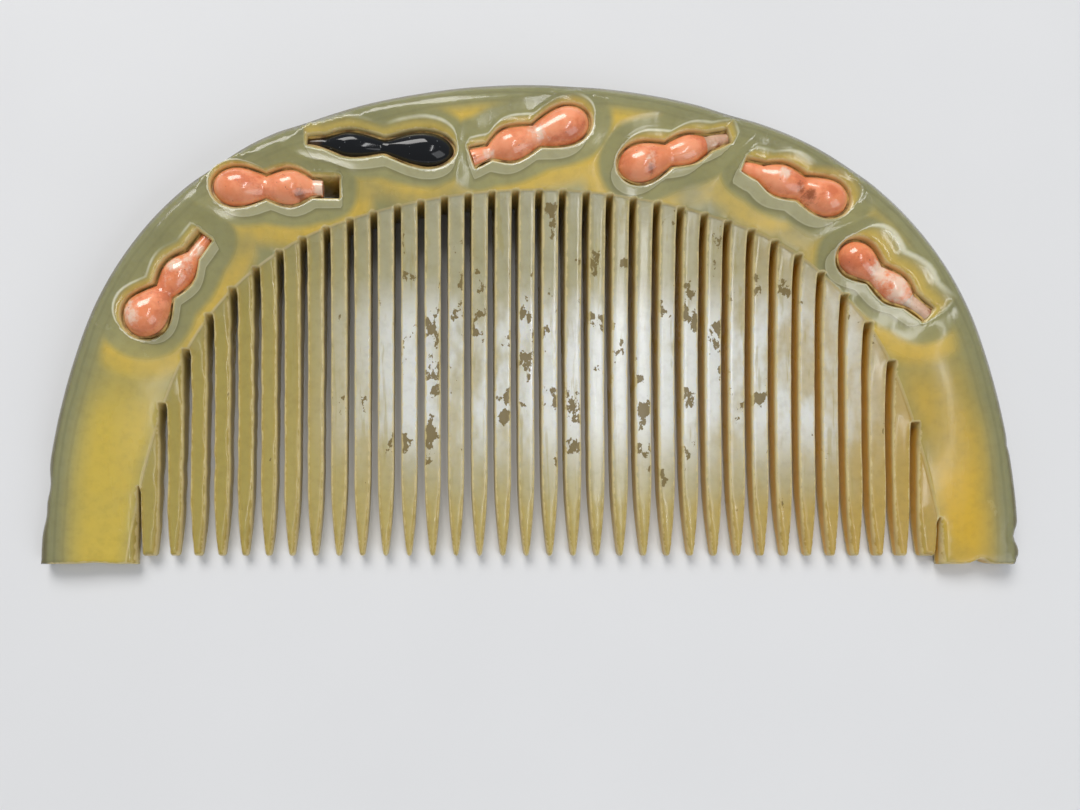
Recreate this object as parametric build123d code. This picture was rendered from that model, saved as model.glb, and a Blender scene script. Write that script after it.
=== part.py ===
from build123d import *
import os
from math import acos, atan2, cos, degrees, hypot, pi, radians, sin

# A half-moon dressing comb of horn with gourd-shaped inlays, lying on its back.
# Millimetres. X runs along the width, Y from the tooth tips to the crown, Z up.
# While the comb is drawn, y is measured from the ends of the guards.

# Outline and tooth-root line: arches of three tangent arcs on each side of the apex.
# Each holds its middle, its apex height, the radii and the headings where two arcs meet.
OUTLINE = {"middle": 0.0, "apex": 51.4, "radii": (72.5, 37.0, 79.0), "headings": (20.9, 70.8)}
ROOTS = {"middle": 0.6, "apex": 39.5, "radii": (64.8, 28.8, 81.5), "headings": (19.5, 69.9)}

# Thickness of the horn
TIP_THICKNESS = 1.9
ROOT_THICKNESS = 5.1
GUARD_THICKNESS = 2.3
CROWN_THICKNESS = 6.5
BLEND_INSIDE = 3.0
BLEND_OUTSIDE = 6.0
RIM_RADIUS = 0.9

# Teeth
GAP_COUNT = 35
GAP_WIDTH = 0.74
GAP_PITCH = 2.505
FIRST_GAP = -41.65
TIP_HEIGHT = 0.9
TIP_WIDTH = 0.5
BLUNT_EXTRA = 0.6
TAPER = 11.0
BELLY_HEIGHT_SHARE = 0.45
BELLY_WIDTH_SHARE = 0.68
OUTER_TAPER_LOSS = 0.4

# Inlays
CLEARANCE = 0.25
INLAY_DEPTH = 1.35
GLUE_HALF_BAND = 0.4
DISH_DEPTH = 0.45
DISH_RADIUS = 12.0
DISH_REACH = 2.0
NOSE_LENGTH_SHARE = 0.72
NOSE_WIDTH_SHARE = 0.66

# Each gourd: place of the big bulb's middle, direction of the stem in degrees, then
# distance along the axis and radius of the waist, the small bulb, the neck and the stem's end.
# The stem end of a gourd with a separate stem piece starts at stem_from.
GOURDS = [
    {"name": "left", "x": -40.6, "y": 26.3, "turn": 53.0, "big": (2.43, 2.33),
     "waist": (3.11, 1.12), "small": (5.54, 1.7), "neck": (7.97, 0.83), "end": (10.4, 0.78)},
    {"name": "upper_left", "x": -31.0, "y": 39.8, "turn": -0.5, "big": (2.58, 2.09),
     "waist": (3.11, 1.22), "small": (5.54, 1.9), "neck": (7.97, 0.92), "end": (9.04, 0.88),
     "socket_end": 10.8},
    {"name": "black", "x": -11.1, "y": 43.8, "turn": 175.7, "big": (3.01, 1.85),
     "waist": (4.38, 0.76), "small": (7.87, 1.38), "neck": (10.69, 0.6), "end": (12.54, 0.31)},
    {"name": "top", "x": 3.8, "y": 46.4, "turn": 199.3, "big": (2.53, 2.09),
     "waist": (3.4, 1.22), "small": (6.22, 1.8), "neck": (8.65, 0.76), "end": (10.6, 0.97)},
    {"name": "upper_right", "x": 11.8, "y": 42.4, "turn": 17.0, "big": (2.53, 2.09),
     "waist": (2.92, 1.26), "small": (5.06, 1.6), "neck": (7.39, 0.89), "end": (9.62, 0.58),
     "stem_from": 7.0},
    {"name": "right", "x": 31.2, "y": 38.6, "turn": 157.8, "big": (2.33, 1.99),
     "waist": (2.92, 1.36), "small": (5.06, 1.75), "neck": (7.39, 0.92), "end": (9.33, 0.64)},
    {"name": "lower_right", "x": 34.5, "y": 32.3, "turn": -39.5, "big": (1.95, 1.85),
     "waist": (2.55, 1.1), "small": (4.96, 1.5), "neck": (7.1, 0.78), "end": (9.53, 0.7),
     "stem_from": 6.8},
]

# The front is drawn through a grid of heights that reaches a margin past the outline
SURFACE_COLUMNS = 36
SURFACE_ROWS = 20
SURFACE_MARGIN = 2.0
SURFACE_TOLERANCE = 0.02

HEIGHT = OUTLINE["apex"]
CENTRING = Vector(0, -HEIGHT / 2, 0)
TALL = 20.0
NEAR = 0.01
UPRIGHT = 0.9


def arch_arcs(arch):
    """The centre, radius and end heading of each arc on the right-hand side."""
    arcs = []
    centre_x, centre_y = 0.0, arch["apex"] - arch["radii"][0]
    headings = [*arch["headings"], 180.0]
    for index, radius in enumerate(arch["radii"]):
        if index:
            turn = radians(headings[index - 1])
            shift = arch["radii"][index - 1] - radius
            centre_x += shift * sin(turn)
            centre_y += shift * cos(turn)
        arcs.append((centre_x, centre_y, radius, headings[index]))
    return arcs


def distance_outside(arch, x, y):
    """How far a point lies outside an arch, negative inside."""
    across = abs(x - arch["middle"])
    for centre_x, centre_y, radius, heading in arch_arcs(arch):
        if degrees(atan2(across - centre_x, y - centre_y)) <= heading:
            break
    return hypot(across - centre_x, y - centre_y) - radius


def arch_face(arch):
    """The closed half-moon inside an arch, down to y = 0."""
    arcs = arch_arcs(arch)
    centre_y, radius = arcs[-1][1], arcs[-1][2]
    headings = [0.0, *arch["headings"], degrees(acos(-centre_y / radius))]
    lines = []
    start, tangent = (0, arch["apex"]), (1, 0)
    for index, arc in enumerate(arcs):
        line = JernArc(start, tangent, arc[2], headings[index] - headings[index + 1])
        lines.append(line)
        start, tangent = line @ 1, line % 1
    side = Curve() + lines
    base = Line(start, (0, 0))
    half = make_face(side + base + Line((0, 0), (0, arch["apex"])))
    return Pos(arch["middle"], 0) * (half + mirror(half, about=Plane.YZ))


def smooth_step(low, high, value):
    """Rises smoothly from 0 at low to 1 at high."""
    share = min(1.0, max(0.0, (value - low) / (high - low)))
    return share * share * (3 - 2 * share)


def thickness(x, y):
    """Hollow-ground over the teeth, rising to a thick band that carries the inlays."""
    hollow = TIP_THICKNESS + (ROOT_THICKNESS - TIP_THICKNESS) * (y / ROOTS["apex"]) ** 2
    rise = sin(pi / 2 * min(1.0, max(0.0, y / HEIGHT)))
    band = GUARD_THICKNESS + (CROWN_THICKNESS - GUARD_THICKNESS) * rise
    share = smooth_step(-BLEND_INSIDE, BLEND_OUTSIDE, distance_outside(ROOTS, x, y))
    return hollow + (band - hollow) * share


def above_the_front():
    """The space above the front face, which is cut away from the blank."""
    columns, rows = SURFACE_COLUMNS, SURFACE_ROWS
    margin = SURFACE_MARGIN
    reach_x = HEIGHT + margin
    grid = []
    for row in range(rows + 1):
        y = -margin + (HEIGHT + 2 * margin) * row / rows
        xs = [-reach_x + 2 * reach_x * column / columns for column in range(columns + 1)]
        grid.append([(x, y, thickness(x, y)) for x in xs])
    front = Face.make_surface_from_array_of_points(grid, tol=SURFACE_TOLERANCE)
    return extrude(front, amount=TALL, dir=(0, 0, 1))


def comb_plate():
    """The whole horn plate with a rounded rim, before it is sawn and pierced."""
    blank = extrude(arch_face(OUTLINE), amount=TALL / 2)
    plate = blank - above_the_front()
    rim = [
        edge
        for edge in plate.edges()
        if distance_outside(OUTLINE, *tuple(edge @ 0.5)[:2]) > -NEAR
        and abs((edge % 0.5).Z) < UPRIGHT
        and (edge @ 0.5).Y > NEAR
    ]
    return fillet(rim, RIM_RADIUS)


def gap_middle(index):
    return FIRST_GAP + index * GAP_PITCH


def tooth_field():
    """The block under the root line that is sawn into teeth, from first gap to last."""
    left = gap_middle(0) - GAP_WIDTH / 2
    right = gap_middle(GAP_COUNT - 1) + GAP_WIDTH / 2
    strip = Pos((left + right) / 2, 0) * Rectangle(right - left, 2 * HEIGHT)
    return extrude(arch_face(ROOTS) & strip, amount=TALL)


def tooth_blank(index):
    """One tooth's plan between two gaps, tapering to a narrow tip, as a tall prism."""
    left = gap_middle(index) + GAP_WIDTH / 2
    right = gap_middle(index + 1) - GAP_WIDTH / 2
    middle = (left + right) / 2
    last = GAP_COUNT - 2
    outer = abs(2 * index / last - 1)
    half_tip = (TIP_WIDTH + BLUNT_EXTRA * outer**4) / 2
    shoulder = TIP_HEIGHT + TAPER * (1 - OUTER_TAPER_LOSS * outer**4)
    belly = TIP_HEIGHT + (shoulder - TIP_HEIGHT) * BELLY_HEIGHT_SHARE
    half_belly = half_tip + ((right - left) / 2 - half_tip) * BELLY_WIDTH_SHARE
    right_side = Spline((middle + half_tip, TIP_HEIGHT), (middle + half_belly, belly), (right, shoulder))
    left_side = Spline((left, shoulder), (middle - half_belly, belly), (middle - half_tip, TIP_HEIGHT))
    crown = Polyline((right, shoulder), (right, HEIGHT), (left, HEIGHT), (left, shoulder))
    tip = Line((middle - half_tip, TIP_HEIGHT), (middle + half_tip, TIP_HEIGHT))
    return extrude(make_face(tip + right_side + crown + left_side), amount=TALL)


def gourd_outline(gourd, spare=0.0, end=None):
    """A gourd's plan along its own axis, grown by spare, with a flat stem end."""
    back, big_radius = gourd["big"]
    end_at, end_radius = gourd["end"]
    stations = [
        (-back * NOSE_LENGTH_SHARE, big_radius * NOSE_WIDTH_SHARE),
        (0, big_radius),
        gourd["waist"],
        gourd["small"],
        gourd["neck"],
        (end or end_at, end_radius),
    ]
    upper = [(at, radius + spare) for at, radius in stations]
    lower = [(at, -radius) for at, radius in upper]
    sides = Spline(*reversed(upper), (-back - spare, 0), *lower)
    return make_face(sides + Line(sides @ 1, sides @ 0))


def gourd_place(gourd):
    """From a gourd's own axis to its place, a little below the front of the horn."""
    middle = thickness(gourd["x"], gourd["y"]) - INLAY_DEPTH
    return Pos(gourd["x"], gourd["y"], middle) * Rot(0, 0, gourd["turn"])


def whole_gourd(gourd):
    upper_side = Rectangle(2 * TALL, TALL, align=(Align.CENTER, Align.MIN))
    turned = revolve(gourd_outline(gourd) & upper_side, Axis.X)
    return gourd_place(gourd) * Rot(90, 0, 0) * turned


def opening(gourd):
    """The gourd-shaped hole right through the band, as a tall prism."""
    outline = gourd_outline(gourd, CLEARANCE, gourd.get("socket_end"))
    return Pos(0, 0, -TALL / 2) * (gourd_place(gourd) * extrude(outline, amount=TALL))


def dish(gourd):
    """A shallow barrel-shaped hollow in the front face around an opening."""
    length = gourd.get("socket_end", gourd["end"][0]) + gourd["big"][0]
    middle = gourd["end"][0] - length / 2
    reach = length / 2 + DISH_REACH
    ends = DISH_RADIUS - DISH_DEPTH
    crest = ThreePointArc((middle - reach, ends), (middle, DISH_RADIUS), (middle + reach, ends))
    axis = Polyline((middle + reach, ends), (middle + reach, 0), (middle - reach, 0), (middle - reach, ends))
    lift = INLAY_DEPTH + DISH_RADIUS - DISH_DEPTH
    return Pos(0, 0, lift) * (gourd_place(gourd) * revolve(make_face(crest + axis), Axis.X))


def glue_seam(gourd):
    """A thin band of old glue round a gourd's equator, out to the wall of its opening."""
    wide = gourd_outline(gourd, CLEARANCE, gourd.get("socket_end"))
    as_far_as_the_end = Pos(gourd["end"][0], 0) * Rectangle(2 * TALL, TALL, align=(Align.MAX, Align.CENTER))
    ring = (wide & as_far_as_the_end) - gourd_outline(gourd)
    return gourd_place(gourd) * Pos(0, 0, -GLUE_HALF_BAND) * extrude(ring, amount=2 * GLUE_HALF_BAND)


def stem_joint(gourd):
    """The plane of the joint between a gourd and its separate stem, facing the stem."""
    return Plane(gourd_place(gourd) * Pos(gourd["stem_from"], 0, 0) * Rot(0, 90, 0))


def build():
    parts = {}
    plate = comb_plate()
    field = tooth_field()
    spine = plate - field
    sawn = plate & field
    for index in range(GAP_COUNT - 1):
        parts[f"tooth_{index + 1:02d}"] = sawn & tooth_blank(index)
    for gourd in GOURDS:
        spine -= opening(gourd)
        spine -= dish(gourd)
        body = whole_gourd(gourd)
        colour = "black" if gourd["name"] == "black" else f"coral_{gourd['name']}"
        parts[f"glue_{gourd['name']}"] = glue_seam(gourd)
        if "stem_from" in gourd:
            parts[f"stem_{gourd['name']}"] = split(body, bisect_by=stem_joint(gourd), keep=Keep.TOP)
            body = split(body, bisect_by=stem_joint(gourd), keep=Keep.BOTTOM)
        parts[f"{colour}_gourd"] = body.to_splines()
    parts["spine"] = spine
    return parts


os.makedirs("parts", exist_ok=True)
for name, part in build().items():
    export_step(Pos(CENTRING) * part, f"parts/{name}.step")
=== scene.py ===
"""A half-moon horn dressing comb with gourd inlays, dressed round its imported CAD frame."""

from math import acos, atan, cos, pi, radians, sin

import bpy
import numpy as np
from mathutils import Euler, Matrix, Vector, kdtree, noise
from mathutils.geometry import delaunay_2d_cdt


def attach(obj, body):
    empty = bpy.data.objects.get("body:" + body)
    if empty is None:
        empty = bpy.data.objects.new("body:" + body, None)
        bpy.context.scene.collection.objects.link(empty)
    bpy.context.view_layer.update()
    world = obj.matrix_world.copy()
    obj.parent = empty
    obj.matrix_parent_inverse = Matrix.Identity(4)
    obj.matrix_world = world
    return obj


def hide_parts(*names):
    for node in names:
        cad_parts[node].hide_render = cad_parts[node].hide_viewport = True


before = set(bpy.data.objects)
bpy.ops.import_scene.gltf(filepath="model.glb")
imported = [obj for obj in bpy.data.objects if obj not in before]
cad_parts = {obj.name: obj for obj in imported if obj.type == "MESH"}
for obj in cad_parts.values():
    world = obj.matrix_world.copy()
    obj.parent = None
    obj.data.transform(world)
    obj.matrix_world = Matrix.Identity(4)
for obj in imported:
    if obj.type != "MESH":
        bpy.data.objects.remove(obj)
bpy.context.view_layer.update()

MM = 0.001

# ---------------------------------------------------------------------------
# Driving dimensions, in millimetres. While the comb is drawn, y is measured
# from the ends of the guards, and x from the middle of the outline.
# ---------------------------------------------------------------------------
OUTLINE = {"middle": 0.0, "apex": 51.4, "radii": (72.5, 37.0, 79.0), "headings": (20.9, 70.8)}
ROOTS = {"middle": 0.6, "apex": 39.5, "radii": (64.8, 28.8, 81.5), "headings": (19.5, 69.9)}
HEIGHT = OUTLINE["apex"]

TIP_THICKNESS = 1.9
ROOT_THICKNESS = 5.1
GUARD_THICKNESS = 2.3
CROWN_THICKNESS = 6.5
BLEND_INSIDE = 3.0
BLEND_OUTSIDE = 6.0
ROOT_STEP = 0.13

GAP_COUNT = 35
GAP_WIDTH = 0.74
END_GAP_WIDTH = 0.22
GAP_PITCH = 2.505
FIRST_GAP = -41.65
TIP_HEIGHT = 0.9
TIP_WIDTH = 0.5
BLUNT_EXTRA = 0.6
TAPER = 11.0
LEAST_GAP = 1.9

CLEARANCE = 0.18
INLAY_DEPTH = 1.35
DISH_DEPTH = 0.42
DISH_FLOOR = 0.0
DISH_RIM = 3.2

# Place of the big bulb's middle, direction of the stem in degrees, then distance along the
# axis and radius of the waist, the small bulb, the neck and the stem's end. lip is how far
# the strip beyond the opening reaches for each millimetre from the eye. pale and stain
# hold spots on the surface: distance along the axis, side (-1 to 1) and size.
GOURDS = [
    {"name": "left", "x": -40.6, "y": 26.3, "turn": 53.0, "lip": 0.022, "big": (2.43, 2.33),
     "waist": (3.11, 1.12), "small": (5.54, 1.7), "neck": (7.97, 0.83), "end": (10.4, 0.78),
     "pale": [(6.0, 0.2, 1.8), (-1.0, 0.4, 1.8), (8.6, 0.0, 1.2)],
     "stain": []},
    {"name": "upper_left", "x": -31.0, "y": 39.8, "turn": -0.5, "lip": 0.012, "big": (2.58, 2.09),
     "waist": (3.11, 1.22), "small": (5.54, 1.9), "neck": (7.97, 0.92), "end": (9.04, 0.88),
     "socket_end": 10.8,
     "pale": [(8.7, 0.0, 1.3)],
     "stain": [(6.9, -0.75, 0.75)]},
    {"name": "black", "x": -11.1, "y": 43.8, "turn": 175.7, "lip": 0.03, "big": (3.01, 1.85),
     "waist": (4.38, 0.76), "small": (7.87, 1.38), "neck": (10.69, 0.6), "end": (12.54, 0.31),
     "pale": [],
     "stain": [(12.0, 0.0, 1.2)]},
    {"name": "top", "x": 3.8, "y": 46.4, "turn": 199.3, "lip": 0.02, "big": (2.53, 2.09),
     "waist": (3.4, 1.22), "small": (6.22, 1.8), "neck": (8.65, 0.76), "end": (10.6, 0.97),
     "pale": [(3.6, 0.1, 1.5), (9.0, 0.5, 0.9)],
     "stain": [(10.5, 0.3, 0.35)]},
    {"name": "upper_right", "x": 11.8, "y": 42.4, "turn": 17.0, "lip": 0.022, "big": (2.53, 2.09),
     "waist": (2.92, 1.26), "small": (5.06, 1.6), "neck": (7.39, 0.89), "end": (9.62, 0.58),
     "stem_from": 7.0,
     "pale": [(0.6, -0.1, 0.8)],
     "stain": [(0.3, -0.55, 0.5), (8.4, -0.9, 0.5)]},
    {"name": "right", "x": 31.2, "y": 38.6, "turn": 157.8, "lip": 0.024, "big": (2.33, 1.99),
     "waist": (2.92, 1.36), "small": (5.06, 1.75), "neck": (7.39, 0.92), "end": (9.33, 0.64),
     "pale": [(5.3, -0.2, 0.8)],
     "stain": [(2.0, 0.55, 0.75), (3.2, 0.3, 0.6), (7.3, -0.8, 0.3)]},
    {"name": "lower_right", "x": 34.5, "y": 32.3, "turn": -39.5, "lip": 0.036, "big": (1.95, 1.85),
     "waist": (2.55, 1.1), "small": (4.96, 1.5), "neck": (7.1, 0.78), "end": (9.53, 0.7),
     "stem_from": 6.8,
     "pale": [(2.7, 0.0, 1.5), (4.6, 0.3, 2.2), (5.6, -0.3, 2.0)],
     "stain": [(9.5, 0.3, 0.5)]},
]

# Breaks along the ends of the guards: where, how wide and how deep. Those along their outer
# edges say first which side they are on, -1 for the left.
BOTTOM_CHIPS = [(47.7, 0.8, 0.55), (52.4, 0.5, 0.5), (-46.2, 1.6, 0.12)]
SIDE_CHIPS = [
    (-1, 8.2, 1.6, 0.4), (-1, 5.2, 1.4, 0.3),
    (1, 3.0, 0.9, 0.5), (1, 0.0, 0.7, 0.5), (1, 12.6, 0.5, 0.12),
]
END_RAGGED = 0.05
GUARD_SPREAD = 0.1

# A gap's rounded root: shares of its half width, and how far below its top.
ROOT_CORNERS = ((0.97, 0.1), (0.75, 0.02), (0.0, 0.0), (-0.75, 0.02), (-0.97, 0.1))
ROOT_CORNER_HEIGHT = 0.2

GOURD_SIDES = 40
GOURD_LUMPS = 0.035
FLOOR_REACH = 3.0
FLOOR_CORNERS = ((-1, -1), (1, -1), (1, 1), (-1, 1))

# The horn mesh: spacings along walls and over the surface, rows down each wall, and the
# rows of points beside each edge as shares of its rounding.
WALL_STEP = 0.5
TIP_CORNER = 0.16
GRID_STEP = 0.8
FINE_STEP = 0.27
FINE_REACH = 2.8
WALL_ROWS = 3
RING_SHARES = (0.06, 0.22, 0.5, 1.0)

# The point on the comb's plan under the eye, and how far the eye sees sideways into the
# horn for each millimetre of depth and each millimetre away from that point.
# The eye's place also sets where the painted see-through crescents, glows and highlights fall beside the
# openings.
EYE_FOOT = (-10.3, 4.3)
SIDE_SIGHT = 0.5 / 83

# How near an opening a look is followed, and how softly its border fades.
SIGHT_LIMIT = 4.5
SIGHT_BLUR = 0.25
LIP_HEIGHT = 0.06


# ---------------------------------------------------------------------------
# Outlines
# ---------------------------------------------------------------------------
def arch_arcs(arch):
    """The centre, radius and end heading of each arc on the right-hand side."""
    arcs = []
    centre_x, centre_y = 0.0, arch["apex"] - arch["radii"][0]
    headings = [*arch["headings"], 180.0]
    for index, radius in enumerate(arch["radii"]):
        if index:
            turn = radians(headings[index - 1])
            shift = arch["radii"][index - 1] - radius
            centre_x += shift * sin(turn)
            centre_y += shift * cos(turn)
        arcs.append((centre_x, centre_y, radius, headings[index]))
    return arcs


def distance_outside(arch, x, y):
    """How far points lie outside an arch, negative inside."""
    across = np.abs(np.asarray(x, float) - arch["middle"])
    y = np.asarray(y, float)
    result = None
    for centre_x, centre_y, radius, heading in reversed(arch_arcs(arch)):
        away = np.hypot(across - centre_x, y - centre_y) - radius
        within = np.degrees(np.arctan2(across - centre_x, y - centre_y)) <= heading
        result = away if result is None else np.where(within, away, result)
    return result


def arch_points(arch, spacing):
    """Evenly spaced points from the left foot of an arch over its apex to the right foot."""
    half = []
    start = 0.0
    for centre_x, centre_y, radius, heading in arch_arcs(arch):
        end = min(radians(heading), acos(-centre_y / radius))
        count = max(2, round((end - start) * radius / spacing))
        for step in range(count):
            angle = start + (end - start) * step / count
            half.append((centre_x + radius * sin(angle), centre_y + radius * cos(angle)))
        start = end
    half.append((centre_x + radius * sin(end), 0.0))
    left = [(arch["middle"] - x, y) for x, y in reversed(half[1:])]
    return left + [(arch["middle"] + x, y) for x, y in half]


def smooth_step(low, high, value):
    share = np.clip((np.asarray(value, float) - low) / (high - low), 0.0, 1.0)
    return share * share * (3 - 2 * share)


def wobble(x, y, scale, seed):
    """Smooth noise between about -1 and 1, with features of the given size."""
    return noise.noise(Vector((x / scale, y / scale, seed)))


def root_height(x):
    """Where the tooth-root line lies above x."""
    return float(np.interp(x, ROOT_LINE[:, 0], ROOT_LINE[:, 1]))


def gap_middle(index):
    return FIRST_GAP + index * GAP_PITCH


def gap_half(index):
    """Half the width of a gap; the outermost two have almost closed up."""
    return END_GAP_WIDTH / 2 if index in (0, GAP_COUNT - 1) else GAP_WIDTH / 2


def tooth_shape(index):
    """The middle, half width, half tip width and shoulder height of a tooth."""
    middle = (gap_middle(index) + gap_middle(index + 1)) / 2
    half = (GAP_PITCH - GAP_WIDTH) / 2
    outer = abs(2 * index / (GAP_COUNT - 2) - 1) ** 4
    return middle, half, (TIP_WIDTH + BLUNT_EXTRA * outer) / 2, TIP_HEIGHT + TAPER * (1 - 0.4 * outer)


def tooth_side(index, side, top):
    """Points down one side of a tooth, from its root to its tip."""
    middle, half, half_tip, shoulder = tooth_shape(index)
    beside = gap_half(index + (side + 1) // 2)
    if beside < GAP_WIDTH / 2:
        half, half_tip = GAP_PITCH / 2 - beside, half
    shoulder = max(min(shoulder, top - 1.0), TIP_HEIGHT + 0.3)
    ragged = 0.03 + 0.08 * float(smooth_step(-18, -34, middle))
    count = max(3, round((top - TIP_HEIGHT) / WALL_STEP))
    points = []
    for step in range(1, count + 1):
        y = top + (TIP_HEIGHT - top) * step / count
        share = min(1.0, (y - TIP_HEIGHT) / (shoulder - TIP_HEIGHT))
        reach = half_tip + (half - half_tip) * (1 - (1 - share) ** 2.6)
        reach += ragged * share * (wobble(index * 7.3 + side, y, 1.6, 3.1) - 0.3)
        points.append((middle + side * reach, y))
    tip_x, tip_y = points[-1]
    return points[:-1] + [(tip_x, tip_y + TIP_CORNER), (tip_x - side * TIP_CORNER, tip_y)]


def chip(position, chips):
    """How deep the breaks reach at a position along an edge."""
    return sum(deep * np.exp(-(((position - at) / wide) ** 2)) for at, wide, deep in chips)


def comb_contour():
    """The outer contour, clockwise from the left foot, with each point's kind of edge."""
    contour = []
    for x, y in arch_points(OUTLINE, 0.5):
        side = 1 if x > 0 else -1
        nicks = [(at, wide, deep) for which, at, wide, deep in SIDE_CHIPS if which == side]
        contour.append((x - side * chip(y, nicks), y, "rim"))
    guard_x = gap_middle(GAP_COUNT - 1) + END_GAP_WIDTH / 2
    contour += guard_end(contour[-1][0], guard_x)
    for index in reversed(range(GAP_COUNT)):
        contour += gap_walls(index)
    contour += guard_end(gap_middle(0) - END_GAP_WIDTH / 2, contour[0][0])
    return contour


def guard_end(start_x, end_x):
    """The chipped lower end of a guard, between its two corners."""
    count = round(abs(end_x - start_x) / WALL_STEP)
    xs = [start_x + (end_x - start_x) * step / count for step in range(1, count)]
    return [(x, chip(x, BOTTOM_CHIPS) + END_RAGGED * (1 + wobble(x, 0, 1.2, 8.0)), "end") for x in xs]


def gap_top(index):
    """How high a gap reaches at its middle."""
    ends = [root_height(gap_middle(index) + side * GAP_WIDTH / 4) for side in (-1, 1)]
    return max(*ends, LEAST_GAP)


def gap_walls(index):
    """Up the right-hand wall of a gap, across its root and down its left-hand wall."""
    middle = gap_middle(index)
    half = gap_half(index)
    top = gap_top(index)
    walls = []
    under = top - ROOT_CORNER_HEIGHT
    if index == GAP_COUNT - 1:
        walls += guard_side(middle + half, under, 1)
    else:
        walls += [(x, y, "tooth") for x, y in reversed(tooth_side(index, -1, under))]
    for across, drop in ROOT_CORNERS:
        walls.append((middle + across * half, top - drop, "root"))
    if index == 0:
        walls += list(reversed(guard_side(middle - half, under, -1)))
    else:
        walls += [(x, y, "tooth") for x, y in tooth_side(index - 1, 1, under)]
    return walls


def guard_side(x, top, side):
    """Up the inner side of a guard, which widens a little towards its root."""
    count = round(top / WALL_STEP)
    shares = [step / count for step in range(count)]
    return [(x + side * GUARD_SPREAD * (1 - share), top * share, "tooth") for share in shares]


def fall(share):
    """How far a gourd has narrowed from a bulb, 0, to a waist, 1."""
    return 0.65 * share**2.2 + 0.35 * (1 - cos(pi * share)) / 2


def gourd_half(gourd, spare=0.0, end=None, steps=7):
    """Half of a gourd's plan along its own axis, from its nose to its flat stem end."""
    back, big_radius = gourd["big"]
    end_at, end_radius = gourd["end"]
    half = []
    for step in range(steps):
        turn = pi / 2 * step / steps
        half.append((-(back + spare) * cos(turn), (big_radius + spare) * sin(turn)))
    bulbs = [(0.0, big_radius), gourd["waist"], gourd["small"], gourd["neck"]]
    stations = [*bulbs, (end or end_at, end_radius)]
    for (start, before), (stop, after) in zip(stations, stations[1:]):
        for step in range(steps):
            share = step / steps
            narrowed = fall(share) if before > after else 1 - fall(1 - share)
            half.append((start + (stop - start) * share, before + (after - before) * narrowed + spare))
    return half + [(stations[-1][0], stations[-1][1] + spare)]


def gourd_to_comb(gourd, along, across):
    """From distances along and across a gourd's axis to the comb's x and y."""
    turn = radians(gourd["turn"])
    x = gourd["x"] + along * cos(turn) - across * sin(turn)
    y = gourd["y"] + along * sin(turn) + across * cos(turn)
    return x, y


def opening_contour(gourd):
    """The contour of a gourd's opening through the horn, clockwise about the hole."""
    upper = gourd_half(gourd, CLEARANCE, gourd.get("socket_end"))
    across_end = [(upper[-1][0], upper[-1][1] * share) for share in (0.5, 0.0, -0.5)]
    lower = [(at, -radius) for at, radius in reversed(upper[1:])]
    return [(*gourd_to_comb(gourd, at, radius), "opening") for at, radius in upper + across_end + lower]


# ---------------------------------------------------------------------------
# The horn: a front and a back surface over one plan, joined by walls
# ---------------------------------------------------------------------------
def thickness(x, y):
    """Hollow-ground over the teeth, rising to a thick band that carries the inlays."""
    hollow = TIP_THICKNESS + (ROOT_THICKNESS - TIP_THICKNESS) * (y / ROOTS["apex"]) ** 2
    rise = np.sin(pi / 2 * np.clip(y / HEIGHT, 0.0, 1.0))
    band = GUARD_THICKNESS + (CROWN_THICKNESS - GUARD_THICKNESS) * rise
    share = smooth_step(-BLEND_INSIDE, BLEND_OUTSIDE, distance_outside(ROOTS, x, y))
    return hollow + (band - hollow) * share


def edge_rounding(kind, x, y):
    """How wide and how deep an edge is rounded on the front."""
    thick = float(thickness(x, y))
    if kind == "rim":
        return 0.6 + 0.26 * thick, 0.4 * thick
    if kind == "end":
        return 0.5, 0.45
    if kind == "opening":
        return 0.45, 0.35
    if kind == "root":
        return 0.18, 0.12
    tip = float(smooth_step(9.0, 0.5, y))
    worn = float(smooth_step(-16, -34, x)) * max(0.0, 0.5 + wobble(x * 3, y, 2.2, 5.5))
    return 0.26 + 0.34 * tip + 0.5 * worn, 0.18 + 0.45 * tip + 0.22 * worn


def contour_normals(points):
    """Unit vectors from the contour's points into the horn, which lies to its right."""
    points = np.asarray(points)
    along = np.roll(points, -1, axis=0) - np.roll(points, 1, axis=0)
    along /= np.maximum(np.hypot(along[:, 0], along[:, 1]), 1e-9)[:, None]
    return np.column_stack((along[:, 1], -along[:, 0]))


def nearest_samples(tree, points):
    """The nearest contour point to each point, and how far it is."""
    found = [tree.find((x, y, 0.0)) for x, y in points]
    return np.array([hit[1] for hit in found]), np.array([hit[2] for hit in found])


def in_the_field(x):
    """Whether x lies under the root line's sawn stretch."""
    return (x > gap_middle(0) - GAP_WIDTH / 2) & (x < gap_middle(GAP_COUNT - 1) + GAP_WIDTH / 2)


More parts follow.
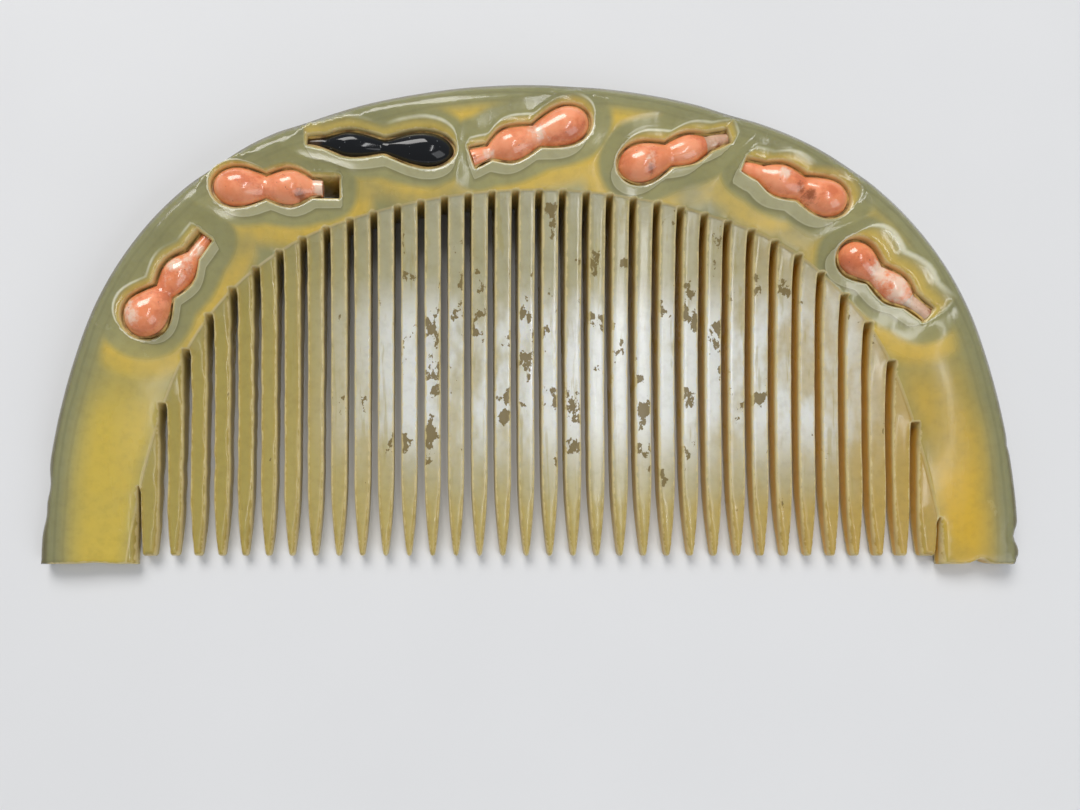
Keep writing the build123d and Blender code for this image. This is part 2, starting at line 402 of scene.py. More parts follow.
def plan_points(samples, normals, rounding, tree):
    """Points inside the plan: rows along each edge, a grid, tooth middles and the root line."""
    rows = [samples + normals * rounding[:, :1] * share for share in RING_SHARES]
    reach = np.concatenate([rounding[:, 0] * share for share in RING_SHARES])
    ring = np.concatenate(rows)
    _, away = nearest_samples(tree, ring)
    kept = [ring[away > 0.8 * reach]]

    for step, near, far in ((FINE_STEP, 0.5, FINE_REACH), (GRID_STEP, FINE_REACH, 99.0)):
        grid = solid_grid(step)
        around = np.min([opening_distance(gourd, *grid.T) for gourd in GOURDS], axis=0)
        grid = grid[(around > near) & (around <= far)]
        _, away = nearest_samples(tree, grid)
        kept.append(grid[away > 0.6 * step])

    spread = []
    for index in range(GAP_COUNT - 1):
        middle, half, _, _ = tooth_shape(index)
        top = min(gap_top(index), gap_top(index + 1)) + 1.0
        for y in np.arange(TIP_HEIGHT + 0.4, top, 0.45):
            spread += [(middle + across * half, y) for across in (-0.36, 0.0, 0.36)]
    line = np.array(arch_points(ROOTS, 0.25))
    normals = contour_normals(line)
    for shift in (-0.26, -0.12, -0.02, 0.08, 0.22):
        spread += (line - normals * shift)[1:-1].tolist()
    spread = np.array(spread)
    inside = distance_outside(ROOTS, *spread.T)
    spread = spread[(inside < 0.3) & in_the_field(spread[:, 0]) & (spread[:, 1] > TIP_HEIGHT + 0.3)]
    _, away = nearest_samples(tree, spread)
    kept.append(spread[away > 0.2])
    return np.concatenate(kept)


def solid_grid(step):
    """A hexagonal grid over the guards and the band, clear of the teeth and the rim."""
    xs, ys = np.meshgrid(np.arange(-53, 53, step), np.arange(0.5, HEIGHT, step * 0.87))
    xs[1::2] += step / 2
    grid = np.column_stack((xs.ravel(), ys.ravel()))
    solid = (distance_outside(ROOTS, *grid.T) > 0.35) | ~in_the_field(grid[:, 0])
    return grid[solid & (distance_outside(OUTLINE, *grid.T) < -1.0)]


def opening_ahead(gourd, x, y, sight):
    """How soon a sideways look meets an opening: 1 at once, 0 at its full reach, negative past it."""
    soon = np.full(len(x), -0.5)
    near = opening_distance(gourd, x, y) < SIGHT_LIMIT
    shift_x, shift_y = ((x - EYE_FOOT[0]) * sight)[near], ((y - EYE_FOOT[1]) * sight)[near]
    for share in np.linspace(1.5, 0.0, 61):
        away = opening_distance(gourd, x[near] + shift_x * share, y[near] + shift_y * share)
        soon[near] = np.maximum(soon[near], 1.0 - share - np.maximum(away, 0.0) / SIGHT_BLUR)
    return soon


def painted_wall_view(x, y):
    """Where the painted view of an opening's near wall, as the eye would see it through the horn, lies
    on the front.
    """
    return np.max([opening_ahead(gourd, x, y, SIDE_SIGHT * thickness(x, y)) for gourd in GOURDS], axis=0)


def lip_beyond(x, y):
    """The strip beyond an opening, out to the lip of its dish, which also places the painted glow and
    painted highlight there.
    """
    return np.max([opening_ahead(gourd, x, y, -gourd["lip"]) for gourd in GOURDS], axis=0)


def in_gourd_axes(gourd, x, y):
    """Distances along a gourd's axis and to the side of it."""
    turn = radians(gourd["turn"])
    along = (x - gourd["x"]) * cos(turn) + (y - gourd["y"]) * sin(turn)
    across = np.abs((y - gourd["y"]) * cos(turn) - (x - gourd["x"]) * sin(turn))
    return along, across


def inside_opening(gourd, x, y):
    """Which points lie over a gourd's opening."""
    along, across = in_gourd_axes(gourd, x, y)
    profile = np.array(gourd_half(gourd, CLEARANCE, gourd.get("socket_end")))
    return across < np.interp(along, *profile.T, left=-1, right=-1)


def opening_distance(gourd, x, y):
    """How far points lie outside a gourd's opening, negative inside."""
    along, across = in_gourd_axes(gourd, x, y)
    profile = gourd_half(gourd, CLEARANCE, gourd.get("socket_end"))
    profile.append((profile[-1][0], 0.0))
    best = np.full(np.shape(along), 99.0)
    for (start, before), (stop, after) in zip(profile, profile[1:]):
        run, rise = stop - start, after - before
        share = np.clip(((along - start) * run + (across - before) * rise) / (run**2 + rise**2), 0, 1)
        best = np.minimum(best, np.hypot(along - start - share * run, across - before - share * rise))
    return np.where(inside_opening(gourd, x, y), -best, best)


def dish_distance(gourd, x, y):
    """A calmer distance for the dish: half the opening's shape, half a plain long oval."""
    along, across = in_gourd_axes(gourd, x, y)
    middle_line = np.clip(along, -0.3, gourd["end"][0] - 1.0)
    oval = np.hypot(along - middle_line, across) - gourd["big"][1] + 0.3
    return 0.5 * (opening_distance(gourd, x, y) + oval)


def unique_points(points, spacing, fixed):
    """Points at least about one spacing apart, keeping the first of each cell."""
    cells = np.round(points / spacing).astype(int)
    _, first = np.unique(cells, axis=0, return_index=True)
    first = np.sort(first)
    keep = np.zeros(len(points), bool)
    keep[first] = True
    keep[:fixed] = True
    return points[keep]


def rounded(depth, width, away):
    """The drop of a quarter-round edge at a distance from the contour."""
    inward = np.clip(1 - away / np.maximum(width, 1e-6), 0.0, 1.0)
    return depth * (1 - np.sqrt(np.maximum(0.0, 1 - inward**2)))


def front_face(x, y):
    """The front before its edges are rounded: dishes, root step and hand-worked unevenness."""
    front = thickness(x, y)
    nearest = np.min([dish_distance(gourd, x, y) for gourd in GOURDS], axis=0)
    front -= DISH_DEPTH * (1 - smooth_step(DISH_FLOOR, DISH_RIM, nearest))
    lip = lip_beyond(x, y)
    front += LIP_HEIGHT * smooth_step(-0.35, 0.05, lip) * (1 - smooth_step(0.05, 0.5, lip))
    inside = distance_outside(ROOTS, x, y)
    front -= np.where(in_the_field(x), ROOT_STEP * smooth_step(0.02, -0.1, inside), 0.0)
    uneven = np.array([wobble(a, b, 9.0, 1.0) + 0.4 * wobble(a, b, 3.5, 2.0) for a, b in zip(x, y)])
    calm = smooth_step(-3, 2, inside)
    return front + 0.05 * uneven * (0.5 + 0.5 * calm)


def horn_mesh():
    contours = [comb_contour()] + [opening_contour(gourd) for gourd in GOURDS]
    samples, kinds, edges = [], [], []
    for contour in contours:
        first = len(samples)
        samples += [(x, y) for x, y, _ in contour]
        kinds += [kind for _, _, kind in contour]
        edges += [(first + i, first + (i + 1) % len(contour)) for i in range(len(contour))]
    samples = np.array(samples)
    normals = np.concatenate([contour_normals([(x, y) for x, y, _ in contour]) for contour in contours])
    for index, contour in enumerate(contours[1:], 1):
        start = sum(len(c) for c in contours[:index])
        own = slice(start, start + len(contour))
        outward = ((samples[own] - samples[own].mean(axis=0)) * normals[own]).sum()
        if outward < 0:
            normals[own] *= -1
    rounding = np.array([edge_rounding(kind, x, y) for kind, (x, y) in zip(kinds, samples)])

    tree = kdtree.KDTree(len(samples))
    for index, (x, y) in enumerate(samples):
        tree.insert((x, y, 0.0), index)
    tree.balance()

    border = len(samples)
    plan = np.concatenate((samples, plan_points(samples, normals, rounding, tree)))
    plan = unique_points(plan, 0.03, border)
    found = delaunay_2d_cdt([Vector(p) for p in plan.tolist()], edges, [], 1, 1e-7)
    plan = np.array([tuple(v) for v in found[0]])
    faces = np.array([f for f in found[2] if len(f) == 3])
    centres = plan[faces].mean(axis=1)
    hollow = np.zeros(len(centres), bool)
    for contour in contours[1:]:
        hollow |= inside_polygon(centres, np.array([(x, y) for x, y, _ in contour]))
    faces = faces[~hollow]

    nearest, away = nearest_samples(tree, plan)
    away[:border] = 0.0
    width, depth = rounding[nearest].T
    x, y = plan.T
    front = front_face(x, y)
    depth = np.minimum(depth, 0.42 * front)
    top = front - rounded(depth, width, away)
    bottom = rounded(np.minimum(depth * 0.8, 0.4 * front), width * 0.8, away)
    return build_horn(plan, faces, top, bottom, away, np.array(kinds)[nearest])


def inside_polygon(points, polygon):
    """Which points lie inside a closed polygon, by counting crossings."""
    inside = np.zeros(len(points), bool)
    x, y = points.T
    for (ax, ay), (bx, by) in zip(polygon, np.roll(polygon, -1, axis=0)):
        if ay != by:
            crosses = ((ay > y) != (by > y)) & (x < (bx - ax) * (y - ay) / (by - ay) + ax)
            inside ^= crosses
    return inside


def build_horn(plan, faces, top, bottom, away, kinds):
    """The closed mesh from the plan, with what the material needs to know at each point."""
    count = len(plan)
    a, b, c = plan[faces[:, 0]], plan[faces[:, 1]], plan[faces[:, 2]]
    turning = np.cross(b - a, c - a)
    faces[turning < 0] = faces[turning < 0][:, ::-1]
    directed = np.concatenate((faces[:, [0, 1]], faces[:, [1, 2]], faces[:, [2, 0]]))
    pairs = set(map(tuple, directed.tolist()))
    rim_edges = [(i, j) for i, j in pairs if (j, i) not in pairs]
    rim_points = sorted({i for edge in rim_edges for i in edge})
    slot = {point: place for place, point in enumerate(rim_points)}

    x, y = plan.T
    heights = [top, bottom]
    coords = [np.column_stack((x, y, height)) for height in heights]
    for row in range(1, WALL_ROWS + 1):
        share = row / (WALL_ROWS + 1)
        z = top[rim_points] * (1 - share) + bottom[rim_points] * share
        coords.append(np.column_stack((x[rim_points], y[rim_points], z)))
    coords = np.concatenate(coords)
    coords[:, 1] -= HEIGHT / 2

    polygons = faces.tolist() + (faces[:, ::-1] + count).tolist()
    for i, j in rim_edges:
        firsts = [2 * count + row * len(rim_points) for row in range(WALL_ROWS)]
        column_i = [i] + [first + slot[i] for first in firsts] + [i + count]
        column_j = [j] + [first + slot[j] for first in firsts] + [j + count]
        for upper_i, lower_i, upper_j, lower_j in zip(column_i, column_i[1:], column_j, column_j[1:]):
            polygons.append([upper_j, upper_i, lower_i, lower_j])

    mesh = bpy.data.meshes.new("horn_comb")
    mesh.from_pydata((coords * MM).tolist(), [], polygons)
    mesh.validate()
    mesh.update()
    mesh.shade_smooth()

    source = np.concatenate([np.arange(count), np.arange(count)] + [np.array(rim_points)] * WALL_ROWS)
    edge_like = away.copy()
    edge_like[kinds == "rim"] += 0.12
    facts = {
        "edge_mm": edge_like,
        "rim_mm": -distance_outside(OUTLINE, x, y),
        "root_mm": distance_outside(ROOTS, x, y),
        "dish_mm": np.min([dish_distance(gourd, x, y) for gourd in GOURDS], axis=0),
        "painted_wall_view": painted_wall_view(x, y),
        "lip_beyond": lip_beyond(x, y),
    }
    for name, values in facts.items():
        layer = mesh.attributes.new(name, "FLOAT", "POINT")
        layer.data.foreach_set("value", values[source].astype(np.float32))
    walls = {"gap_wall": ("tooth", "end"), "root_wall": ("root",), "opening_wall": ("opening",)}
    for name, sides in walls.items():
        is_wall = np.isin(kinds[source], sides).astype(np.float32)
        is_wall[: 2 * count] = 0.0
        mesh.attributes.new(name, "FLOAT", "POINT").data.foreach_set("value", is_wall)
    return mesh


# ---------------------------------------------------------------------------
# Gourds: turned bodies with soft lumps
# ---------------------------------------------------------------------------
def gourd_mesh(gourd, name, from_at, to_at):
    """A turned gourd, or the stretch of it between two distances along its axis."""
    profile = gourd_half(gourd, steps=8)
    stretch = [(at, radius) for at, radius in profile if from_at - 1e-6 <= at <= to_at + 1e-6]
    ats, radii = np.array(profile).T
    if from_at > -gourd["big"][0]:
        stretch.insert(0, (from_at, float(np.interp(from_at, ats, radii))))
    if to_at < gourd["end"][0]:
        stretch.append((to_at, float(np.interp(to_at, ats, radii))))
    stretch = [point for point in stretch if point[1] > 1e-6]
    around = GOURD_SIDES
    middle_z = float(thickness(gourd["x"], gourd["y"])) - INLAY_DEPTH
    seed = len(gourd["name"]) + gourd["x"]
    points, along_values, side_values = [], [], []

    def add(at, radius, angle):
        lump = 1 + GOURD_LUMPS * wobble(at, angle * 2, 2.4, seed) if radius > 0.5 else 1.0
        radius = radius * lump
        x, y = gourd_to_comb(gourd, at, radius * cos(angle))
        points.append((x, y - HEIGHT / 2, middle_z + radius * sin(angle)))
        along_values.append(at)
        side_values.append(radius * cos(angle))

    for at, radius in stretch:
        for turn in range(around):
            add(at, radius, 2 * pi * turn / around)
    polygons = []
    for row in range(len(stretch) - 1):
        for turn in range(around):
            after = (turn + 1) % around
            polygons.append([row * around + turn, row * around + after,
                             (row + 1) * around + after, (row + 1) * around + turn])
    for at, ring, flip in ((stretch[0][0], 0, True), (stretch[-1][0], len(stretch) - 1, False)):
        nose = -gourd["big"][0] if ring == 0 and from_at <= -gourd["big"][0] else at
        add(nose, 0.0, 0.0)
        for turn in range(around):
            corners = [len(points) - 1, ring * around + turn, ring * around + (turn + 1) % around]
            polygons.append(corners if not flip else corners[::-1])

    mesh = bpy.data.meshes.new(name)
    mesh.from_pydata([tuple(v * MM for v in point) for point in points], [], polygons)
    mesh.validate()
    mesh.update()
    mesh.shade_smooth()
    mesh.set_sharp_from_angle(angle=radians(50))
    for spot in ("pale", "stain"):
        values = np.zeros(len(points))
        for at, side, size in gourd[spot]:
            big = float(np.interp(at, ats, radii))
            away = np.hypot(np.array(along_values) - at, np.array(side_values) - side * big)
            values = np.maximum(values, np.exp(-((away / size) ** 2)))
        mesh.attributes.new(spot, "FLOAT", "POINT").data.foreach_set("value", values.astype(np.float32))
    return mesh


# ---------------------------------------------------------------------------
# Materials
# ---------------------------------------------------------------------------
class Nodes:
    """Short ways to add and join the nodes of one material."""

    def __init__(self, name):
        self.material = bpy.data.materials.new(name)
        self.material.use_nodes = True
        self.tree = self.material.node_tree
        self.shader = self.tree.nodes["Principled BSDF"]
        self.place = self.add("ShaderNodeTexCoord").outputs["Object"]

    def add(self, kind, **settings):
        node = self.tree.nodes.new(kind)
        for key, value in settings.items():
            setattr(node, key, value)
        return node

    def join(self, value, socket):
        if isinstance(value, bpy.types.NodeSocket):
            self.tree.links.new(value, socket)
        elif isinstance(value, tuple) and len(value) == 3 and socket.type == "RGBA":
            socket.default_value = (*value, 1.0)
        else:
            socket.default_value = value

    def attribute(self, name):
        return self.add("ShaderNodeAttribute", attribute_name=name).outputs["Fac"]

    def noise(self, scale, detail=3.0, rough=0.5, stretch=(1, 1, 1), shift=(0, 0, 0)):
        mapping = self.add("ShaderNodeMapping")
        self.join(self.place, mapping.inputs["Vector"])
        mapping.inputs["Scale"].default_value = stretch
        mapping.inputs["Location"].default_value = shift
        node = self.add("ShaderNodeTexNoise")
        self.join(mapping.outputs["Vector"], node.inputs["Vector"])
        node.inputs["Scale"].default_value = scale
        node.inputs["Detail"].default_value = detail
        node.inputs["Roughness"].default_value = rough
        return node.outputs["Fac"]

    def ramp(self, value, low, high, to_low=0.0, to_high=1.0):
        node = self.add("ShaderNodeMapRange", interpolation_type="SMOOTHSTEP")
        if low > high:
            low, high, to_low, to_high = high, low, to_high, to_low
        self.join(value, node.inputs["Value"])
        limits = {"From Min": low, "From Max": high, "To Min": to_low, "To Max": to_high}
        for key, number in limits.items():
            node.inputs[key].default_value = number
        return node.outputs["Result"]

    def math(self, operation, first, second=0.0):
        node = self.add("ShaderNodeMath", operation=operation)
        self.join(first, node.inputs[0])
        self.join(second, node.inputs[1])
        return node.outputs[0]

    def product(self, *values):
        result = values[0]
        for value in values[1:]:
            result = self.math("MULTIPLY", result, value)
        return result

    def mix(self, share, first, second):
        node = self.add("ShaderNodeMix", data_type="RGBA")
        self.join(share, node.inputs["Factor"])
        self.join(first, node.inputs["A"])
        self.join(second, node.inputs["B"])
        return node.outputs["Result"]

    def along(self, axis):
        node = self.add("ShaderNodeSeparateXYZ")
        self.join(self.place, node.inputs["Vector"])
        return node.outputs[axis]

    def bump(self, height, strength, distance):
        node = self.add("ShaderNodeBump")
        node.inputs["Strength"].default_value = strength
        node.inputs["Distance"].default_value = distance
        self.join(height, node.inputs["Height"])
        self.join(node.outputs["Normal"], self.shader.inputs["Normal"])

    def set(self, **sockets):
        for key, value in sockets.items():
            self.join(value, self.shader.inputs[key.replace("_", " ")])


KHAKI = (0.285, 0.27, 0.12)
LIGHT_KHAKI = (0.36, 0.34, 0.155)
GREY_GREEN = (0.25, 0.25, 0.135)
# Dark horn colour for the growth rings, also used as painted shade at the rim and beside the openings.
RINGS_AND_PAINTED_SHADE = (0.13, 0.115, 0.06)
PAINTED_GLOW_GOLD = (0.672, 0.462, 0.068)
GUARD_AMBER_AND_GLOW = (0.627, 0.473, 0.083)
RIGHT_AMBER_AND_GLOW = (0.65, 0.418, 0.038)
PAINTED_SEE_THROUGH = (0.42, 0.40, 0.24)
PAINTED_HIGHLIGHT_LINE = (0.86, 0.84, 0.66)
TOOTH_GREY = (0.36, 0.33, 0.17)
TOOTH_PALE = (0.473, 0.388, 0.148)
TOOTH_HONEY = (0.483, 0.326, 0.078)
TOOTH_OLIVE = (0.378, 0.304, 0.072)
DULL_FILM = (0.47, 0.45, 0.32)
PAINTED_REFLECTION_SILVER = (0.74, 0.745, 0.70)
FLAKE = (0.171, 0.116, 0.02)
CREAM = (0.66, 0.54, 0.27)
GAP_OLIVE = (0.40, 0.30, 0.08)
GAP_AMBER = (0.66, 0.38, 0.045)
ROOT_OLIVE = (0.72, 0.56, 0.18)
OPENING_GOLD = (0.60, 0.44, 0.10)
DUST = (0.12, 0.09, 0.03)
CORAL = (0.88, 0.29, 0.125)
CORAL_WHITE = (0.92, 0.70, 0.55)
CORAL_STAIN = (0.30, 0.075, 0.02)
CORAL_PIT = (0.35, 0.12, 0.07)
DEEP_CORAL = (0.72, 0.5, 0.42)
STEM_CORAL = (0.72, 0.52, 0.38)
STEM_WHITE = (0.86, 0.74, 0.62)
BLACK = (0.006, 0.007, 0.009)
PALE_SPECK = (0.22, 0.24, 0.25)
BROWN_STEM = (0.07, 0.035, 0.015)
GLUE_DARK = (0.22, 0.11, 0.03)
GLUE_LIGHT = (0.55, 0.36, 0.10)
FLOOR_COOL = (0.74, 0.745, 0.76)
FLOOR_PALE = (0.78, 0.785, 0.80)


def horn_material():
    """Horn: khaki and gold in depth with painted glows, cream worn edges, painted shade, highlights and
    see-through crescents round the openings, and a flaked film on the teeth under a painted silvery
    reflection.
    """
    n = Nodes("horn")
    edge, rim, root = n.attribute("edge_mm"), n.attribute("rim_mm"), n.attribute("root_mm")
    dish, seen, lip = n.attribute("dish_mm"), n.attribute("painted_wall_view"), n.attribute("lip_beyond")
    x, y = n.along("X"), n.along("Y")
    clouds = n.noise(85, 3, 0.55)
    mottle = n.noise(420, 4, 0.6)
    fine = n.noise(1100, 4, 0.6)
    grain = n.noise(240, 4, 0.6, stretch=(1.0, 0.25, 1.0))

    colour = n.mix(n.ramp(clouds, 0.35, 0.7), KHAKI, LIGHT_KHAKI)
    colour = n.mix(n.ramp(mottle, 0.35, 0.75, 0.0, 0.35), colour, GREY_GREEN)
    # Painted glow: gold along the ridges between the dishes, standing in for light gathered through the
    # horn.
    ridge = n.product(n.ramp(dish, 1.9, 2.9), n.ramp(dish, 5.2, 3.4), n.ramp(rim, 2.2, 4.0))
    colour = n.mix(n.product(ridge, n.ramp(clouds, 0.36, 0.6, 0.15, 0.9)), colour, PAINTED_GLOW_GOLD)
    # Gold over the guards: partly the horn's own amber, partly a painted glow.
    guard = n.product(n.ramp(y, 0.0, -0.012), n.ramp(rim, 1.2, 5.5), n.ramp(root, -0.5, 1.5, 0.5, 1.0))
    honey = n.mix(n.ramp(x, 0.0, 0.03), GUARD_AMBER_AND_GLOW, RIGHT_AMBER_AND_GLOW)
    colour = n.mix(n.product(guard, n.ramp(clouds, 0.32, 0.58, 0.55, 1.0)), colour, honey)
    colour = n.mix(n.ramp(rim, 3.6, 1.0, 0.0, 0.75), colour, GREY_GREEN)
    growth = n.math("SINE", n.math("ADD", n.product(rim, 6.5), n.product(clouds, 6.0)))
    rings = n.product(n.ramp(growth, 0.2, 1.0), n.ramp(rim, 4.5, 1.0, 0.0, 0.22))
    colour = n.mix(rings, colour, RINGS_AND_PAINTED_SHADE)
    # Painted shade: a dark line along the outer edge of the rim.
    colour = n.mix(n.ramp(rim, 1.25, 0.5, 0.0, 0.85), colour, RINGS_AND_PAINTED_SHADE)
    # Painted shade: darker round the eye's side of each opening, under the painted crescent.
    shadow = n.product(n.ramp(seen, -0.5, -0.04), n.ramp(lip, -0.1, -0.3))
    colour = n.mix(n.product(shadow, 0.42), colour, RINGS_AND_PAINTED_SHADE)
    # Painted see-through: a pale crescent on the eye's side of each opening, where its near wall would
    # show through the horn.
    painted_crescent = n.product(n.ramp(seen, -0.05, 0.03), n.ramp(lip, 0.0, -0.2))
    colour = n.mix(n.product(painted_crescent, 0.8), colour, PAINTED_SEE_THROUGH)
    # Painted highlight: a faint pale line along the crescent's border.
    painted_brim_line = n.product(n.ramp(seen, -0.04, 0.04), n.ramp(seen, 0.14, 0.05))
    colour = n.mix(n.product(painted_brim_line, 0.1), colour, PAINTED_HIGHLIGHT_LINE)
    # Painted glow: gold on the strip beyond each opening, for its far wall seen through the horn.
    beyond = n.product(n.ramp(lip, -0.1, 0.8), n.ramp(clouds, 0.3, 0.6, 0.65, 0.95))
    colour = n.mix(beyond, colour, OPENING_GOLD)
    # Painted highlight: a pale line at the lip beyond each opening.
    glint = n.product(n.ramp(lip, -0.22, 0.0), n.ramp(lip, 0.26, 0.03))
    colour = n.mix(n.product(glint, n.ramp(clouds, 0.38, 0.6, 0.0, 0.7)), colour, PAINTED_HIGHLIGHT_LINE)

    tooth = n.mix(n.ramp(y, 0.010, -0.014), TOOTH_GREY, TOOTH_PALE)
    tooth = n.mix(n.ramp(x, 0.005, 0.042, 0.0, 0.85), tooth, TOOTH_HONEY)
    tooth = n.mix(n.ramp(x, -0.016, -0.034, 0.0, 0.8), tooth, TOOTH_OLIVE)
    tooth = n.mix(n.ramp(edge, 0.62, 0.25, 0.0, 0.35), tooth, TOOTH_HONEY)
    patches = n.noise(170, 4, 0.6, stretch=(1, 0.5, 1))
    across = n.product(n.ramp(x, -0.025, -0.012), n.ramp(x, 0.041, 0.030))
    film = n.product(across, n.ramp(y, -0.0205, -0.0165), n.ramp(patches, 0.34, 0.54, 0.25, 0.6))
    tooth = n.mix(film, tooth, DULL_FILM)
    # Painted reflection: a silvery band across the middle of the teeth.
    painted_glare = n.product(across, n.ramp(y, 0.006, -0.001), n.ramp(y, -0.0175, -0.0095))
    tooth = n.mix(n.product(painted_glare, n.ramp(patches, 0.36, 0.54, 0.3, 1.0)), tooth, PAINTED_REFLECTION_SILVER)
    scratches = n.noise(900, 3, 0.7, stretch=(1, 0.06, 1))
    tooth = n.mix(n.product(n.ramp(scratches, 0.58, 0.66), 0.35), tooth, TOOTH_OLIVE)
    flakes = n.noise(360, 5, 0.64, stretch=(1, 0.7, 1), shift=(0.02, 0.01, 0))
    where = n.product(n.ramp(x, -0.026, -0.006, 0.0, 1.0), n.ramp(x, 0.040, 0.012),
                      n.ramp(y, 0.014, 0.006), n.ramp(y, -0.021, -0.012))
    flaked = n.product(n.ramp(n.math("ADD", flakes, n.ramp(where, 0.0, 1.0, -0.1, 0.0)), 0.578, 0.588))
    tooth = n.mix(n.product(flaked, 0.9), tooth, FLAKE)
    colour = n.mix(n.ramp(root, 0.05, -0.15), colour, tooth)

    ragged = n.math("ADD", edge, n.ramp(fine, 0.3, 0.7, -0.08, 0.08))
    worn = n.product(n.ramp(ragged, 0.24, 0.12), n.ramp(rim, 0.6, 1.5))
    colour = n.mix(n.product(worn, 0.75), colour, CREAM)
    line = n.product(n.ramp(root, -0.16, -0.06), n.ramp(root, 0.12, 0.03))
    colour = n.mix(n.product(line, 0.6), colour, CREAM)
    gap = n.mix(n.ramp(x, -0.005, 0.035), GAP_OLIVE, GAP_AMBER)
    colour = n.mix(n.product(n.attribute("gap_wall"), 0.95), colour, gap)
    colour = n.mix(n.product(n.attribute("root_wall"), 0.95), colour, ROOT_OLIVE)
    colour = n.mix(n.product(n.attribute("opening_wall"), 0.95), colour, OPENING_GOLD)
    colour = n.mix(n.ramp(fine, 0.4, 0.8, 0.0, 0.15), colour, DUST)

    roughness = n.ramp(grain, 0.3, 0.7, 0.1, 0.19)
    roughness = n.math("ADD", roughness, n.product(flaked, 0.3))
    roughness = n.math("ADD", roughness, n.product(worn, 0.15))
    roughness = n.math("ADD", roughness, n.product(guard, 0.12))
    roughness = n.math("ADD", roughness, n.product(ridge, 0.16))
    n.set(Base_Color=colour, Roughness=roughness, IOR=1.45, Subsurface_Weight=0.35,
          Subsurface_Scale=0.001, Coat_Weight=0.08, Coat_Roughness=0.05)
    n.shader.inputs["Subsurface Radius"].default_value = (2.5, 1.9, 0.8)
    height = n.math("ADD", n.product(grain, 0.5), n.product(flaked, -0.8))
    n.bump(n.math("ADD", height, n.product(scratches, 0.4)), 0.25, 0.00012)
    return n.material


def coral_material(name, body, pale):
    """Polished coral: clouded colour, pale and brown places, small pits."""
    n = Nodes(name)
    clouds = n.noise(420, 4, 0.6)
    colour = n.mix(n.ramp(clouds, 0.38, 0.62), body, tuple(min(1.0, v * 1.1 + 0.06) for v in body))
    deep = tuple(value * share for value, share in zip(body, DEEP_CORAL))
    colour = n.mix(n.ramp(n.noise(300, 5, 0.65), 0.52, 0.36, 0.0, 0.65), colour, deep)
    white = n.math("ADD", n.attribute("pale"), n.ramp(n.noise(700, 5, 0.65), 0.3, 0.75, -0.45, 0.4))
    colour = n.mix(n.ramp(white, 0.35, 1.0, 0.0, 0.85), colour, pale)
    speck = n.noise(2600, 2, 0.5)
    stain = n.math("ADD", n.attribute("stain"), n.ramp(n.noise(1100, 4, 0.7), 0.3, 0.75, -0.4, 0.4))
    colour = n.mix(n.ramp(stain, 0.2, 1.0, 0.0, 0.85), colour, CORAL_STAIN)
    pits = n.ramp(speck, 0.70, 0.76)
    colour = n.mix(n.product(pits, 0.7), colour, CORAL_PIT)
    n.set(Base_Color=colour, Roughness=n.ramp(clouds, 0.3, 0.7, 0.16, 0.26), IOR=1.55,
          Subsurface_Weight=0.3, Subsurface_Scale=0.0006, Coat_Weight=0.6, Coat_Roughness=0.05)
    n.shader.inputs["Subsurface Radius"].default_value = (1.0, 0.45, 0.3)
    n.bump(n.math("ADD", n.product(pits, -1.0), n.product(clouds, 0.3)), 0.3, 0.00006)
    return n.material


def black_material():
    """Deep black, highly polished, with a few pale dust specks and a brownish stem."""
    n = Nodes("black_glaze")
    specks = n.ramp(n.noise(3000, 1, 0.4), 0.74, 0.78)
    colour = n.mix(n.product(specks, 0.5), BLACK, PALE_SPECK)
    colour = n.mix(n.ramp(n.attribute("stain"), 0.3, 0.9, 0.0, 0.8), colour, BROWN_STEM)
    n.set(Base_Color=colour, Roughness=n.ramp(n.noise(500, 2), 0.3, 0.7, 0.06, 0.14), IOR=1.42,
          Coat_Weight=0.15, Coat_Roughness=0.03)
    n.bump(n.noise(700, 2), 0.08, 0.00004)
    return n.material


def glue_material():
    """Aged brown glue, uneven in colour and shine."""
    n = Nodes("old_glue")
    patches = n.noise(900, 3, 0.6)
    colour = n.mix(n.ramp(patches, 0.35, 0.65), GLUE_DARK, GLUE_LIGHT)
    n.set(Base_Color=colour, Roughness=n.ramp(patches, 0.3, 0.7, 0.3, 0.55), Subsurface_Weight=0.0)
    n.bump(patches, 0.3, 0.00006)
    return n.material


def floor_material():
    """Plain pale studio paper."""
    n = Nodes("pale_floor")
    n.set(Base_Color=n.mix(n.noise(40, 3), FLOOR_COOL, FLOOR_PALE), Roughness=0.7)
    return n.material


# ---------------------------------------------------------------------------
# Pieces
# ---------------------------------------------------------------------------
def show(mesh, name, material, slot, *nodes):
    """Makes a piece that rides on the comb's one body and stands for the given CAD nodes."""
    piece = bpy.data.objects.new(name, mesh)
    bpy.context.scene.collection.objects.link(piece)
    mesh.materials.append(material)
    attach(piece, "root")
    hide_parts(*nodes)
    return piece


def make_comb():
    teeth = [f"tooth_{index + 1:02d}" for index in range(GAP_COUNT - 1)]
    show(horn_mesh(), "horn_comb", horn_material(), "horn", "spine", *teeth)


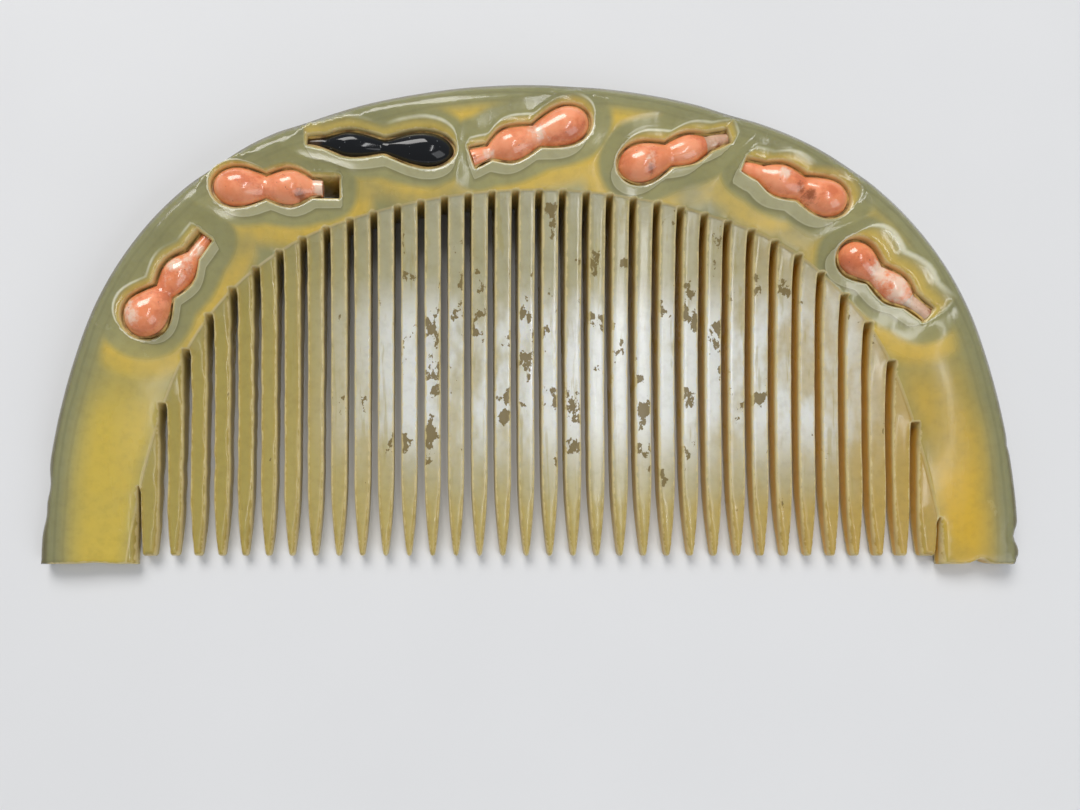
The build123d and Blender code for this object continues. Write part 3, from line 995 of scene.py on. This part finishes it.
def make_gourds():
    coral = coral_material("coral", CORAL, CORAL_WHITE)
    pale_coral = coral_material("pale_coral", STEM_CORAL, STEM_WHITE)
    black = black_material()
    glue = glue_material()
    for gourd in GOURDS:
        name = gourd["name"]
        node = "black_gourd" if name == "black" else f"coral_{name}_gourd"
        slot, material = ("black_glaze", black) if name == "black" else ("coral", coral)
        body_end = gourd.get("stem_from", gourd["end"][0])
        body = gourd_mesh(gourd, f"shown_{node}", -gourd["big"][0], body_end)
        show(body, f"shown_{node}", material, slot, node)
        if "stem_from" in gourd:
            stem = gourd_mesh(gourd, f"shown_stem_{name}", body_end, gourd["end"][0])
            show(stem, f"shown_stem_{name}", pale_coral, "pale_coral", f"stem_{name}")
        seam = bpy.data.objects[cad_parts[f"glue_{name}"].name]
        for place in seam.material_slots:
            place.material = glue


# ---------------------------------------------------------------------------
# Stage: camera square to the front of the teeth, floor and soft lights
# ---------------------------------------------------------------------------
IMAGE_WIDTH, IMAGE_HEIGHT = 1080, 810
SENSOR_MM = 36.0
LENS_MM = 27.03
AXIS_ACROSS, AXIS_DOWN = 0.401, 0.5654
FOOT_X, FOOT_Y = -10.3, 11.25
CAMERA_DISTANCE = 85.9


def make_camera():
    """Square to the slope of the teeth's front, with the lens's axis left of and below the middle."""
    slope = atan((ROOT_THICKNESS - TIP_THICKNESS) / ROOTS["apex"])
    data = bpy.data.cameras.new("camera")
    data.sensor_width = SENSOR_MM
    data.lens = LENS_MM
    data.clip_start = 0.005
    data.shift_x = 0.5 - AXIS_ACROSS
    data.shift_y = (AXIS_DOWN - 0.5) * IMAGE_HEIGHT / IMAGE_WIDTH
    camera = bpy.data.objects.new("camera", data)
    foot = Vector((FOOT_X, FOOT_Y - HEIGHT / 2, TIP_THICKNESS + FOOT_Y * sin(slope)))
    camera.location = (foot + Vector((0, -sin(slope), cos(slope))) * CAMERA_DISTANCE) * MM
    camera.rotation_euler = Euler((slope, 0, 0))
    bpy.context.scene.collection.objects.link(camera)
    bpy.context.scene.camera = camera


def make_floor():
    mesh = bpy.data.meshes.new("floor")
    corners = [(across * FLOOR_REACH, along * FLOOR_REACH, 0) for across, along in FLOOR_CORNERS]
    mesh.from_pydata(corners, [], [(0, 1, 2, 3)])
    mesh.materials.append(floor_material())
    floor = bpy.data.objects.new("floor", mesh)
    bpy.context.scene.collection.objects.link(floor)


def add_light(name, place, size, power, colour=(1, 1, 1), target=(0, 0, 0)):
    data = bpy.data.lights.new(name, "AREA")
    data.shape = "RECTANGLE"
    data.size, data.size_y = size
    data.energy = power
    data.color = colour
    light = bpy.data.objects.new(name, data)
    light.location = place
    light.rotation_euler = (Vector(target) - Vector(place)).to_track_quat("-Z", "Y").to_euler()
    bpy.context.scene.collection.objects.link(light)


def make_lights():
    world = bpy.data.worlds.new("studio")
    bpy.context.scene.world = world
    world.use_nodes = True
    background = world.node_tree.nodes["Background"]
    background.inputs["Color"].default_value = (0.93, 0.96, 1.0, 1.0)
    background.inputs["Strength"].default_value = 0.3
    add_light("key", (-0.30, 0.75, 0.80), (0.7, 0.5), 9.0, (1.0, 0.98, 0.95))
    add_light("strip", (0.12, -0.02, 0.50), (0.34, 0.035), 0.36)
    add_light("fill", (0.7, -0.7, 0.7), (0.8, 0.8), 3.6, (0.95, 0.98, 1.0))


ROOT_LINE = np.array(arch_points(ROOTS, 0.1))
make_camera()
make_comb()
make_gourds()
make_floor()
make_lights()
bpy.context.scene.view_settings.view_transform = "Standard"
